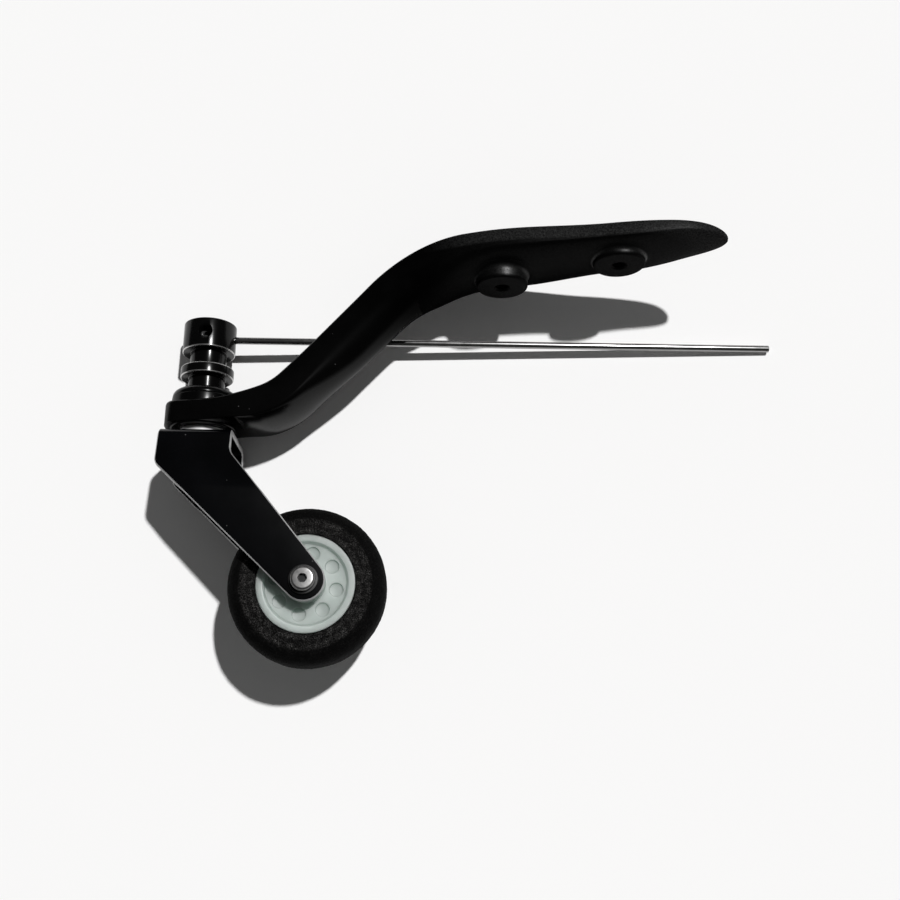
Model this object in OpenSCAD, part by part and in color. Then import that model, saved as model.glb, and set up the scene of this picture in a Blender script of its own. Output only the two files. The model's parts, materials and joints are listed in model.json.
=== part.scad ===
// Tailwheel assembly of a large model aircraft.
// Millimetres. Origin: on the mounting face, midway between the two mounting holes.
// +Z out of the mounting face, +X from the swivel axis towards the tip of the arm.

/* [Mounting] */
// Height of the mounting face above the top of the fork
mount_h = 60; // [54:0.5:66]
// Distance from the swivel axis to the middle of the mounting holes
reach = 119.5; // [114:0.5:126]
// Distance between the two mounting holes
hole_pitch = 38; // [32:0.5:44]
// Diameter of the mounting holes
hole_d = 4.2; // [3.2:0.1:5.2]
// Diameter of the two screw bosses
boss_d = 16.7; // [14:0.1:18.5]
// Depth of the rear screw seat below the mounting face
rear_seat = 13.9; // [12.5:0.1:16]
// Depth of the front screw seat below the mounting face
front_seat = 9.4; // [8.8:0.1:12]

/* [Arm] */
// Width of the arm at the pivot
pivot_w = 22; // [21.8:0.2:26]
// Length of the arm beyond the swivel axis
pivot_end = 12; // [11.4:0.1:14]
// Diameter of the round collar through the arm's end
collar_d = 21.6; // [19:0.1:21.7]
// Height of the pivot housing, from the foot to the top of its collar
housing_h = 10.7; // [10:0.1:13]
// Gap between the top of the fork and the pivot housing
housing_gap = 2.5; // [2:0.1:4]
// Radius of the gentle first part of the arm's lower bend
toe_bend_r = 57; // [45:1:62]
// Radius of the tighter second part of the arm's lower bend
low_bend_r = 18; // [12:1:22]
// Radius of the upper bend of the arm's top
high_bend_r = 47; // [36:1:52]
// Width of the arm at its throat, halfway up the slope
throat_w = 17.4; // [15:0.2:17.8]
// Width of the arm at the rear boss
shoulder_w = 29.6; // [27:0.2:34]
// Width of the arm at the front boss
pad_w = 25; // [24:0.2:30]
// Length of the arm's tip beyond the front hole
tip_len = 34.5; // [28:0.5:42]
// Thickness of the arm at its throat
throat_t = 14.8; // [12:0.1:16]
// Thickness of the arm at the upper bend
bend_t = 15.2; // [12:0.1:17]
// Thickness of the arm at the rear boss
shoulder_t = 9.4; // [8.5:0.1:11]
// Thickness of the arm at the front boss
pad_t = 7.2; // [6.4:0.1:8]
// Thickness of the arm at its tip
tip_t = 3.8; // [3:0.1:5]

/* [Fork] */
// Width of the fork along the direction of travel
fork_w = 23.5; // [22:0.5:26]
// Outside width across the top bends of the fork
fork_top_span = 24.4; // [23:0.2:28]
// Outside width across the legs at the axle
fork_span = 32; // [30.6:0.2:36]
// Thickness of the fork's sheet
sheet = 2; // [1.6:0.1:2.4]
// Depth of the crease, where the splayed legs turn parallel
crease_z = 20.5; // [17:0.5:22]
// Depth of the leading corner of the leg
lead_corner = 12.2; // [10:0.2:15]
// Depth of the trailing corner of the leg
trail_corner = 8; // [6:0.2:10]
// Radius of the leg's end round the axle
leg_end_r = 6.5; // [5.5:0.1:7.5]

/* [Wheel] */
// Horizontal distance from the swivel axis to the axle
trail = 37; // [34:0.5:42]
// Depth of the axle below the top of the fork
axle_drop = 49.4; // [47:0.2:56]
// Diameter of the tyre
tyre_d = 50; // [46:0.5:53]
// Width of the tyre
tyre_w = 19.4; // [17:0.2:21]
// Diameter of the hub, which is the bore of the tyre
hub_d = 30.8; // [29:0.2:33]
// Width of the hub over its rims
hub_w = 19; // [17:0.2:20]
// Width of the hub over its centre boss
hub_boss_w = 21.6; // [21:0.2:23]
// Number of round pockets in each face of the hub
pockets = 8; // [6:1:9]
// Diameter of the axle bolt
axle_d = 4; // [3:0.1:4.4]

/* [Steering] */
// Diameter of the pivot bolt's shank
pivot_d = 6; // [5:0.1:6.6]
// Diameter of the steering head's clamp and ring
head_d = 17.5; // [16.5:0.1:19]
// Diameter of the steering head's neck
neck_d = 12; // [11:0.1:13]
// Height of the wire above the top of the fork
wire_h = 35.2; // [33.5:0.1:36.5]
// Height of the steering head's top above the fork
head_top = 40; // [39:0.2:43]
// Diameter of the steering wire
wire_d = 2.4; // [1.6:0.1:2.8]
// Distance from the swivel axis to the end of the wire
wire_reach = 192; // [150:1:220]
// Turn of the fork away from the arm, as it lies
rest_turn = 12.5; // [12.3:0.1:20]

/* [Fits] */
// Radial running clearance of a shaft in its bush
run_gap = 0.05; // [0.02:0.01:0.1]
// End float between two faces that turn on each other
end_gap = 0.05; // [0.03:0.01:0.1]

/* [Hidden] */
$fn = 72;

// Heights above the top of the fork
housing_z0 = housing_gap;
housing_z1 = housing_gap + housing_h;
dome_h = 2.6;
dome_z1 = housing_z1 + dome_h;

// Arm, measured from the swivel axis
rear_x = reach - hole_pitch/2;
front_x = reach + hole_pitch/2;
tip_x = front_x + tip_len;
collar_r = collar_d/2;
collar_h = 2.7;
foot_z = housing_z1 - collar_h;
collar_foot = 0.15;
foot_t = housing_h - collar_h - collar_foot;
foot_x = 8;
end_round = 7.5;
end_x = end_round - pivot_end;
end_power = 2.6;
side_x = 13;
low_run = 10.3;
high_run = 29.4;
low_x = pivot_w/2 + low_run;
low_t = 11.3;
high_x = rear_x - high_run;
slope = atan((mount_h - foot_z)/(high_x - low_x));
toe_turn = 20;
toe_rise = toe_bend_r*(1 - cos(toe_turn));
low_rise = low_bend_r*(cos(toe_turn) - cos(slope));
slope_x = low_x + (toe_rise + low_rise)/tan(slope);
bend_x = slope_x - low_bend_r*(sin(slope) - sin(toe_turn));
toe_x = bend_x - toe_bend_r*sin(toe_turn);
high_tan = high_bend_r*tan(slope/2);
throat_x = (low_x + high_x)/2;
throat_lead = 6;
throat_tail = 8;
shoulder_past = 3;
shoulder_x = rear_x + shoulder_past;
leaf_before = 2.5;
leaf_x = front_x - leaf_before;
leaf_power = 1.85;
droop_len = 16;
droop_x = tip_x - droop_len;
droop = 1.4;
nose_len = 5;
arm_edge_r = 1.2;
arm_thin = 0.3;

// Bushes and washers
bush_r = 5;
bush_len = 4.6;
flange_r = 7.5;
flange_t = 1.05;
thrust_r = 7.8;
thrust_t = housing_gap - flange_t - end_gap;
dome_r = collar_r - 0.1;
dome_top_r = 8.2;
dome_rim = 0.4;
lock_r = 5.6;
lock_t = 1.6;
pivot_r = pivot_d/2;

// Steering head
head_z0 = dome_z1 + end_gap;
head_r = head_d/2;
neck_r = neck_d/2;
clamp_h = 10.1;
ring_h = 3.4;
groove_h = 5.7;
clamp_z0 = head_top - clamp_h;
ring_z1 = clamp_z0 - groove_h;
ring_z0 = ring_z1 - ring_h;
head_chamfer = 0.35;
wire_r = wire_d/2;
wire_in = 3;
wire_cover = 0.8;
pivot_top = wire_h - wire_r - wire_cover;
wire_screw_r = 2;
wire_screw_len = 4;
shaft_screw_r = 1.5;
shaft_screw_z = (ring_z1 + clamp_z0)/2;
screw_mouth = 0.5;

// Fork
fork_y = fork_span/2;
fork_top_y = fork_top_span/2;
splay = atan((fork_y - fork_top_y)/crease_z);
bend_r = 3;
crease_r = 9;
lead_r = 4;
trail_r = 5;

// Axle and wheel
axle_r = axle_d/2;
leg_y = fork_y - sheet;
boss_y = hub_boss_w/2;
washer_r = 4.6;
washer_t = 0.9;
button_r = 3.8;
button_h = 2.3;
button_socket = 2.5;
button_round = 0.4*button_r;
button_socket_depth = 0.6*button_h;
nut_flats = 7;
nut_h = 4.6;
nut_hex_h = 3.2;
insert_r = 2.8;
insert_h = 1.2;
bolt_past_nut = 0.8;
spacer_r = 4.6;
hub_bush_r = 3.4;
hub_r = hub_d/2;
rim_t = 2.1;
hub_boss_r = 6;
web_drop = 1.4;
pocket_d = 4.5;
pocket_depth = 1.2;
pocket_turn = 34.5;
sidewall = 5;

// An arc as a list of points
function arc_points(centre, r, from, to, n) =
  [for (i = [0:n]) centre + r*[cos(from + (to - from)*i/n), sin(from + (to - from)*i/n)]];

// Unit vector from one point to another
function heading(a, b) = (b - a)/norm(b - a);

// Angle of a vector from the first axis
function bearing(v) = atan2(v[1], v[0]);

// One corner of an outline, replaced by an arc that touches both of its sides
function round_corner(before, corner, after, r, n) =
  let (
    u = heading(corner, before),
    v = heading(corner, after),
    half = acos(u*v)/2,
    mid = heading([0, 0], u + v),
    centre = corner + mid*r/sin(half),
    start = bearing(corner + u*r/tan(half) - centre),
    end = bearing(corner + v*r/tan(half) - centre),
    turn = end - start,
    short = turn > 180 ? turn - 360 : turn < -180 ? turn + 360 : turn
  )
  arc_points(centre, r, start, start + short, n);

// An outline with every corner rounded by its own radius; 0 leaves the corner sharp
function round_outline(points, radii, n) =
  [for (i = [0:len(points) - 1])
    let (last = len(points) - 1)
    each radii[i] == 0 ? [points[i]] : round_corner(
      points[i == 0 ? last : i - 1], points[i], points[i == last ? 0 : i + 1], radii[i], n)];

// Point where a line from outside touches a circle, on its left (side 1) or right (side -1)
function touch_point(outside, centre, r, side) =
  let (away = outside - centre, spread = acos(r/norm(away)))
  centre + r*[cos(bearing(away) + side*spread), sin(bearing(away) + side*spread)];

// Value that eases from each station to the next along the arm
function ease(x, stations, i = 0) =
  i >= len(stations) - 1 || x <= stations[0][0] ? (i == 0 ? stations[0][1] : stations[i][1])
  : x > stations[i + 1][0] ? ease(x, stations, i + 1)
  : let (u = (x - stations[i][0])/(stations[i + 1][0] - stations[i][0]))
    stations[i][1] + (stations[i + 1][1] - stations[i][1])*(3 - 2*u)*u*u;

// Slope of the arm's top: level foot, two-part lower bend, straight rise, upper bend, level pad, drooping tip
function arm_slope(x) =
  x < toe_x ? 0
  : x < bend_x ? asin((x - toe_x)/toe_bend_r)
  : x < slope_x ? asin((x - bend_x)/low_bend_r + sin(toe_turn))
  : x < high_x - high_tan*cos(slope) ? slope
  : x < high_x + high_tan ? asin((high_x + high_tan - x)/high_bend_r)
  : x < droop_x ? 0
  : -atan(2*droop*(x - droop_x)/droop_len^2);

// Height of the arm's top surface
function arm_top(x) =
  x < toe_x ? foot_z
  : x < bend_x ? foot_z + toe_bend_r*(1 - cos(arm_slope(x)))
  : x < slope_x ? foot_z + toe_rise + low_bend_r*(cos(toe_turn) - cos(arm_slope(x)))
  : x < high_x - high_tan*cos(slope) ? foot_z + (x - low_x)*tan(slope)
  : x < high_x + high_tan ? mount_h - high_bend_r*(1 - cos(arm_slope(x)))
  : x < droop_x ? mount_h
  : mount_h - droop*((x - droop_x)/droop_len)^2;

// Share of the width that is left where an end rounds off; u runs from 0 to 1
function rounding(u, power) = sqrt(max(0, 1 - max(0, u)^power));

// Half width of the arm, from its blunt pivot end to its leaf-shaped tip
function arm_half_w(x) =
  rounding((end_x - x)/end_round, end_power)*rounding((x - leaf_x)/(tip_x - leaf_x), leaf_power)
  *ease(x, [
    [side_x, pivot_w/2],
    [throat_x - throat_lead, throat_w/2],
    [throat_x + throat_tail, throat_w/2],
    [shoulder_x, shoulder_w/2],
    [leaf_x, pad_w/2]
  ]);

// Thickness of the arm, square to its top surface
function arm_t(x) = ease(x, [
  [foot_x, foot_t],
  [low_x, low_t],
  [throat_x, throat_t],
  [high_x, bend_t],
  [shoulder_x, shoulder_t],
  [front_x, pad_t],
  [tip_x - nose_len, tip_t],
  [tip_x, tip_t/2]
]);

// Depth of the rounded belly within that thickness
function arm_belly(x) = arm_t(x)*ease(x, [
  [foot_x, 0.05],
  [low_x, 0.18],
  [throat_x, 0.6],
  [high_x, 0.46],
  [shoulder_x, 0.4],
  [front_x, 0.34],
  [tip_x, 0.36]
]);

// One cross-section of the arm: flat top, rounded edges, straight walls, elliptical belly
belly_steps = 14;
function arm_section(x) =
  let (
    w = max(arm_thin, arm_half_w(x)),
    t = arm_t(x),
    belly = arm_belly(x),
    edge = min(arm_edge_r, 0.45*w, 0.45*(t - belly)),
    near_edge = arc_points([-w + edge, edge], edge, 270, 180, 2),
    far_edge = arc_points([w - edge, edge], edge, 360, 270, 2),
    round_belly = [for (i = [0:belly_steps])
      [-w*cos(180*i/belly_steps), t - belly + belly*sin(180*i/belly_steps)]],
    lean = arm_slope(x)
  )
  [for (p = concat(near_edge, round_belly, far_edge))
    [x + p[1]*sin(lean), p[0], arm_top(x) - p[1]*cos(lean)]];

// Stations of the loft: even along the arm, closer together round its two ends
body_steps = 32;
round_steps = 6;
leaf_steps = 9;
last_turn = 88;
arm_stations = concat(
  [for (i = [round_steps:-1:1]) end_x - end_round*sin(last_turn*i/round_steps)],
  [for (i = [0:body_steps]) end_x + (leaf_x - end_x)*i/body_steps],
  [for (i = [1:leaf_steps]) leaf_x + (tip_x - leaf_x)*sin(last_turn*i/leaf_steps)]
);

module arm_loft() {
  sections = [for (x = arm_stations) arm_section(x)];
  count = len(sections[0]);
  last = len(sections) - 1;
  skin = [for (i = [0:last - 1], j = [0:count - 1])
    let (k = (j + 1) % count, a = i*count, b = (i + 1)*count)
    each [[a + j, b + j, b + k], [a + j, b + k, a + k]]];
  foot = [for (j = [1:count - 2]) [0, j, j + 1]];
  tip = [for (j = [1:count - 2]) [last*count, last*count + j + 1, last*count + j]];
  polyhedron([for (s = sections) each s], concat(skin, foot, tip));
}

// Round collar that holds the bushes and stands out from the arm's end above and below
module pivot_collar() {
  soft = 0.5;
  rotate_extrude()
    polygon(concat(
      [[0, housing_z0]],
      arc_points([collar_r - soft, housing_z0 + soft], soft, 270, 360, 4),
      arc_points([collar_r - soft, housing_z1 - soft], soft, 0, 90, 4),
      [[0, housing_z1]]
    ));
}

// Round boss with a softened rim and a flared root that runs into the belly
module screw_boss(x, seat) {
  r = boss_d/2;
  rim = 0.8;
  flare = 2.2;
  root = arm_t(x) - 2;
  translate([x, 0, mount_h])
    rotate_extrude()
      polygon(concat(
        [[0, -seat]],
        arc_points([r - rim, -seat + rim], rim, 270, 360, 4),
        arc_points([r + flare, -root - flare], flare, 180, 90, 5),
        [[r + flare, 1 - root], [0, 1 - root]]
      ));
}

module screw_hole(x, seat) {
  mouth = 0.55;
  translate([x, 0, mount_h - seat - 1])
    cylinder(d = hole_d, h = seat + 2);
  translate([x, 0, mount_h - seat - 1])
    cylinder(r1 = hole_d/2 + mouth + 1, r2 = hole_d/2, h = mouth + 1);
}

// Frames: on the swivel axis at the top of the fork, and turned with the fork
module on_arm() {
  translate([-reach, 0, -mount_h])
    children();
}

module on_fork() {
  on_arm()
    rotate([0, 0, rest_turn])
      children();
}

// On the axle, with the local third axis pointing at the bolt's head
module on_axle() {
  on_fork()
    translate([trail, 0, -axle_drop])
      rotate([90, 0, 0])
        children();
}

module ring(outer, inner, from, to) {
  translate([0, 0, from])
    difference() {
      cylinder(r = outer, h = to - from);
      translate([0, 0, -1])
        cylinder(r = inner, h = to - from + 2);
    }
}

module arm() {
  color([0.06, 0.06, 0.065])
    on_arm()
      difference() {
        union() {
          arm_loft();
          pivot_collar();
          screw_boss(rear_x, rear_seat);
          screw_boss(front_x, front_seat);
        }
        translate([0, 0, housing_z0 - 1])
          cylinder(r = bush_r, h = housing_h + 2);
        screw_hole(rear_x, rear_seat);
        screw_hole(front_x, front_seat);
      }
}

module upper_bush() {
  color([0.72, 0.6, 0.4])
    on_arm()
      ring(bush_r, pivot_r + run_gap, housing_z1 - bush_len, housing_z1);
}

module lower_bush() {
  flange_z = housing_z0 - flange_t;
  color([0.75, 0.75, 0.76])
    on_arm()
      difference() {
        union() {
          translate([0, 0, flange_z])
            cylinder(r = flange_r, h = flange_t);
          translate([0, 0, flange_z])
            cylinder(r = bush_r, h = flange_t + bush_len);
        }
        translate([0, 0, flange_z - 1])
          cylinder(r = pivot_r + run_gap, h = flange_t + bush_len + 2);
      }
}

// Convex cover washer: a low rim, an elliptical flank and a flat seat under the steering head
module domed_washer() {
  bore = pivot_r + run_gap;
  flank_z = housing_z1 + dome_rim;
  steps = 8;
  flank = [for (i = [0:steps])
    [dome_top_r + (dome_r - dome_top_r)*cos(90*i/steps), flank_z + (dome_z1 - flank_z)*sin(90*i/steps)]];
  color([0.05, 0.05, 0.055])
    on_arm()
      rotate_extrude()
        polygon(concat([[bore, housing_z1], [dome_r, housing_z1]], flank, [[bore, dome_z1]]));
}

module thrust_washer() {
  color([0.8, 0.8, 0.81])
    on_fork()
      ring(thrust_r, pivot_r, 0, thrust_t);
}

// Fork: a folded strip, seen along the direction of travel
module fork_fold(length) {
  low = -axle_drop - leg_end_r - 1;
  run_in = sheet*(1 - sin(splay))/cos(splay);
  inner_top_y = fork_top_y - sheet*cos(splay) + run_in*sin(splay);
  run_out = (leg_y - fork_top_y + sheet*cos(splay))/sin(splay);
  inner_crease_z = -sheet*sin(splay) - run_out*cos(splay);
  inner_bend_r = bend_r - sheet;
  inner_crease_r = crease_r + sheet;
  rotate([90, 0, 90])
    linear_extrude(length, center = true)
      polygon(round_outline(
        [
          [-fork_y, low], [-fork_y, -crease_z], [-fork_top_y, 0],
          [fork_top_y, 0], [fork_y, -crease_z], [fork_y, low],
          [leg_y, low], [leg_y, inner_crease_z], [inner_top_y, -sheet],
          [-inner_top_y, -sheet], [-leg_y, inner_crease_z], [-leg_y, low]
        ],
        [
          0, crease_r, bend_r, bend_r, crease_r, 0,
          0, inner_crease_r, inner_bend_r, inner_bend_r, inner_crease_r, 0
        ],
        6
      ));
}

// Fork: the cut outline of the strip, seen from its side
module fork_outline(width) {
  axle = [trail, -axle_drop];
  lead = [-fork_w/2, -lead_corner];
  back = [fork_w/2, -trail_corner];
  low_touch = touch_point(lead, axle, leg_end_r, 1);
  high_touch = touch_point(back, axle, leg_end_r, -1);
  from = bearing(high_touch - axle);
  to = bearing(low_touch - axle);
  end = arc_points(axle, leg_end_r, from, to, 18);
  rotate([90, 0, 0])
    linear_extrude(width, center = true)
      polygon(concat(
        [[-fork_w/2, 1], [fork_w/2, 1]],
        round_corner([fork_w/2, 1], back, high_touch, trail_r, 6),
        end,
        round_corner(low_touch, lead, [-fork_w/2, 1], lead_r, 6)
      ));
}

module fork() {
  wide = 2*(fork_y + 2);
  long = 4*(trail + leg_end_r);
  color([0.03, 0.03, 0.035])
    on_fork()
      difference() {
        intersection() {
          fork_fold(long);
          fork_outline(wide);
        }
        translate([0, 0, -sheet - 1])
          cylinder(r = pivot_r, h = sheet + 2);
        translate([trail, 0, -axle_drop])
          rotate([90, 0, 0])
            cylinder(r = axle_r, h = wide, center = true);
      }
}

module pivot_bolt() {
  hex_flats = 10;
  hex_h = 4;
  under = -sheet - lock_t;
  color([0.7, 0.7, 0.72])
    on_fork() {
      translate([0, 0, under - hex_h])
        cylinder(d = hex_flats/cos(30), h = hex_h, $fn = 6);
      translate([0, 0, under - hex_h/2])
        cylinder(r = pivot_r, h = pivot_top - under + hex_h/2);
    }
}

module pivot_lock_washer() {
  color([0.6, 0.6, 0.62])
    on_fork()
      ring(lock_r, pivot_r, -sheet - lock_t, -sheet);
}

// Turned head: a clamp and a ring stand out from one neck, with softened edges
module steering_head() {
  c = head_chamfer;
  color([0.03, 0.03, 0.03])
    on_fork()
      difference() {
        rotate_extrude()
          polygon([
            [0, head_z0],
            [neck_r, head_z0],
            [neck_r, ring_z0],
            [head_r - c, ring_z0],
            [head_r, ring_z0 + c],
            [head_r, ring_z1 - c],
            [head_r - c, ring_z1],
            [neck_r, ring_z1],
            [neck_r, clamp_z0],
            [head_r - c, clamp_z0],
            [head_r, clamp_z0 + c],
            [head_r, head_top - c],
            [head_r - c, head_top],
            [0, head_top]
          ]);
        translate([0, 0, head_z0 - 1])
          cylinder(r = pivot_r, h = pivot_top - head_z0 + 1);
        translate([-wire_in, 0, wire_h])
          rotate([0, 90, 0])
            cylinder(r = wire_r, h = head_r + wire_in + 1);
        translate([0, -wire_r, wire_h])
          rotate([90, 0, 0])
            cylinder(r = wire_screw_r, h = head_r);
        translate([0, -head_r + screw_mouth, wire_h])
          rotate([90, 0, 0])
            cylinder(r1 = wire_screw_r, r2 = wire_screw_r + 2*screw_mouth, h = 2*screw_mouth);
        translate([0, pivot_r, shaft_screw_z])
          rotate([-90, 0, 0])
            cylinder(r = shaft_screw_r, h = neck_r);
      }
}

// Set screw standing on the third axis, with a hexagon socket in its outer end
module set_screw(r, length, flats) {
  socket = 0.45*length;
  difference() {
    cylinder(r = r, h = length);
    translate([0, 0, length - socket])
      cylinder(d = flats/cos(30), h = socket + 1, $fn = 6);
  }
}

module wire_set_screw() {
  color([0.12, 0.12, 0.13])
    on_fork()
      translate([0, -wire_r, wire_h])
        rotate([90, 0, 0])
          set_screw(wire_screw_r, wire_screw_len, wire_screw_r);
}

module shaft_set_screw() {
  color([0.12, 0.12, 0.13])
    on_fork()
      translate([0, pivot_r, shaft_screw_z])
        rotate([-90, 0, 0])
          set_screw(shaft_screw_r, neck_r - pivot_r - screw_mouth, shaft_screw_r);
}

module steering_wire() {
  color([0.78, 0.78, 0.78])
    on_fork()
      translate([-wire_in, 0, wire_h])
        rotate([0, 90, 0])
          cylinder(r = wire_r, h = wire_in + wire_reach);
}

module axle_bolt() {
  seat = fork_y + washer_t;
  end = -(seat + nut_h + bolt_past_nut);
  top = seat + button_h;
  color([0.78, 0.77, 0.74])
    on_axle()
      difference() {
        rotate_extrude()
          polygon(concat(
            [[0, end], [axle_r, end], [axle_r, seat], [button_r, seat]],
            arc_points([button_r - button_round, top - button_round], button_round, 0, 90, 6),
            [[0, top]]
          ));
        translate([0, 0, top - button_socket_depth])
          cylinder(d = button_socket/cos(30), h = button_h, $fn = 6);
      }
}

module axle_bolt_washer() {
  color([0.05, 0.05, 0.05])
    on_axle()
      ring(washer_r, axle_r, fork_y, fork_y + washer_t);
}

module near_spacer() {
  color([0.82, 0.84, 0.83])
    on_axle()
      ring(spacer_r, axle_r, boss_y + end_gap, leg_y);
}

module far_spacer() {
  color([0.82, 0.84, 0.83])
    on_axle()
      ring(spacer_r, axle_r, -leg_y, -boss_y - end_gap);
}

module axle_nut_washer() {
  color([0.05, 0.05, 0.05])
    on_axle()
      ring(washer_r, axle_r, -fork_y - washer_t, -fork_y);
}

module axle_nut() {
  seat = -fork_y - washer_t;
  wall = 0.5;
  color([0.72, 0.72, 0.72])
    on_axle()
      difference() {
        union() {
          translate([0, 0, seat - nut_hex_h])
            cylinder(d = nut_flats/cos(30), h = nut_hex_h, $fn = 6);
          translate([0, 0, seat - nut_h])
            cylinder(r = insert_r + wall, h = nut_h);
        }
        translate([0, 0, seat - nut_h - 1])
          cylinder(r = axle_r, h = nut_h + 2);
        translate([0, 0, seat - nut_h - 1])
          cylinder(r = insert_r, h = insert_h + 1);
      }
}

module axle_nut_insert() {
  seat = -fork_y - washer_t;
  color([0.2, 0.25, 0.6])
    on_axle()
      ring(insert_r, axle_r, seat - nut_h, seat - nut_h + insert_h);
}

// Moulded hub: rim, dished web and centre boss, with a ring of round pockets in each face
module hub() {
  rim_r = hub_r - rim_t;
  rim_y = hub_w/2;
  web_y = rim_y - web_drop;
  pocket_r = (hub_boss_r + rim_r)/2;
  ease_r = 0.5;
  color([0.86, 0.89, 0.88])
    on_axle()
      difference() {
        rotate_extrude()
          polygon([
            [0, -boss_y], [hub_boss_r, -boss_y], [hub_boss_r, -web_y],
            [rim_r - ease_r, -web_y], [rim_r, -web_y - ease_r], [rim_r, -rim_y],
            [hub_r, -rim_y], [hub_r, rim_y], [rim_r, rim_y],
            [rim_r, web_y + ease_r], [rim_r - ease_r, web_y],
            [hub_boss_r, web_y], [hub_boss_r, boss_y], [0, boss_y]
          ]);
        cylinder(r = hub_bush_r, h = hub_boss_w + 2, center = true);
        for (side = [-1, 1], i = [0:pockets - 1])
          rotate([0, 0, pocket_turn + 360*i/pockets])
            translate([pocket_r, 0, side*web_y])
              cylinder(d = pocket_d, h = 2*pocket_depth, center = true);
      }
}

module hub_bush() {
  color([0.78, 0.62, 0.3])
    on_axle()
      ring(hub_bush_r, axle_r + run_gap, -boss_y, boss_y);
}

// Foam tyre: flat sidewalls, elliptical shoulders and a nearly flat tread
module tyre() {
  half = tyre_w/2;
  out = tyre_d/2;
  flat_r = hub_r + sidewall;
  tread = 0.34*half;
  steps = 9;
  shoulder = [for (i = [0:steps])
    [flat_r + (out - flat_r)*sin(90*i/steps), tread + (half - tread)*cos(90*i/steps)]];
  other = [for (i = [steps:-1:0]) [shoulder[i][0], -shoulder[i][1]]];
  color([0.07, 0.07, 0.07])
    on_axle()
      rotate_extrude()
        polygon(concat([[hub_r, -half], [hub_r, half]], shoulder, other));
}

arm();
upper_bush();
lower_bush();
domed_washer();
thrust_washer();
fork();
pivot_bolt();
pivot_lock_washer();
steering_head();
wire_set_screw();
shaft_set_screw();
steering_wire();
axle_bolt();
axle_bolt_washer();
near_spacer();
far_spacer();
axle_nut();
axle_nut_insert();
axle_nut_washer();
hub();
hub_bush();
tyre();
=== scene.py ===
import json
import math

import bmesh
import bpy
import numpy as np
from mathutils import Matrix, Vector


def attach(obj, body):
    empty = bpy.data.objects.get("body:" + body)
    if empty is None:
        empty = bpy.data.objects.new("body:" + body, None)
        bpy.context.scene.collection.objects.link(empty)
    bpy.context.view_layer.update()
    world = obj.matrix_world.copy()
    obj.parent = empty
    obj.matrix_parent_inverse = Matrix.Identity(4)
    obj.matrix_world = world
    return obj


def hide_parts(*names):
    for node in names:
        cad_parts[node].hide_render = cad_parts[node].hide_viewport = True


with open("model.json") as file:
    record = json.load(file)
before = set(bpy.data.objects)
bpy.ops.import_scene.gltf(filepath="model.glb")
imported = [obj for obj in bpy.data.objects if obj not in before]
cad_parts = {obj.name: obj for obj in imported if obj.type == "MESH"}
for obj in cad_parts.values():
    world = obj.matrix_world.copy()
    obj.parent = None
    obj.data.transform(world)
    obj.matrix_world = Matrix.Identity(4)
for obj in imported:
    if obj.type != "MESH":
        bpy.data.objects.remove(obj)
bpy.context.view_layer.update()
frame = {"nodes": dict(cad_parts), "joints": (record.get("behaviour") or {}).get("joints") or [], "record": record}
print("frame loaded with", len(frame["nodes"]), "nodes")

mm = 0.001
turn = 2 * math.pi
weld = 1e-6  # metres; closer points become one

# places that every piece hangs on, read from the frame
joints = {j["name"]: j for j in frame["joints"]}
swivelPoint = np.array(joints["fork_swivel"]["pos_m"])  # on the swivel axis, at the top of the fork
axlePoint = np.array(joints["wheel_spin"]["pos_m"])  # middle of the axle
upWay = np.array([0.0, 0.0, 1.0])
acrossWay = np.array(joints["wheel_spin"]["axis"])  # along the axle, away from the bolt's head
alongWay = np.cross(acrossWay, upWay)  # along the fork, towards the wheel
armAxes = np.eye(3)
forkAxes = np.array([alongWay, acrossWay, upWay])
axleAxes = np.array([alongWay, upWay, -acrossWay])  # third axis points at the bolt's head
onArm, onFork, onAxle = (swivelPoint, armAxes), (swivelPoint, forkAxes), (axlePoint, axleAxes)  # point, axes
holes = next(m for m in frame["record"]["mounts"] if m["name"] == "mounting_holes")
holePitch = holes["dims"]["spacing_x_mm"]
holeRadius = holes["dims"]["hole_r_mm"]
reach = -swivelPoint[0] / mm  # swivel axis to the middle of the holes
mountHeight = -swivelPoint[2] / mm  # mounting face above the fork


def span(node, origin, way):  # lowest and highest reach of a solid along a direction, mm from a point
    points = np.array([v.co for v in frame["nodes"][node].data.vertices])
    far = (points - origin) @ np.asarray(way) / mm
    return far.min(), far.max()


def placed(points, origin, axes):  # local millimetres into the frame: origin + x a + y b + z c
    return origin + np.asarray(points) * mm @ axes


def unit(v):  # one vector or rows of them, made one long
    return v / np.linalg.norm(v, axis=-1, keepdims=True)


def circle(steps):  # a column of angles round one turn
    return np.linspace(0, turn, steps, endpoint=False)[:, None]


def swept(r, a, h):  # radius, angle and height into x, y, z
    return np.stack([r * np.cos(a), r * np.sin(a), h + 0 * a], -1)


# mesh making

def added(name, data):  # a new object in the scene
    made = bpy.data.objects.new(name, data)
    bpy.context.scene.collection.objects.link(made)
    return made


def gridFaces(rows, cols, wrapRows, wrapCols):  # the four corners of every cell of a grid
    i = np.arange(rows if wrapRows else rows - 1)[:, None]
    j = np.arange(cols if wrapCols else cols - 1)[None, :]
    nextRow, nextCol = (i + 1) % rows, (j + 1) % cols
    corners = [i * cols + j, nextRow * cols + j, nextRow * cols + nextCol, i * cols + nextCol]
    return np.stack(corners, -1).reshape(-1, 4)


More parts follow.
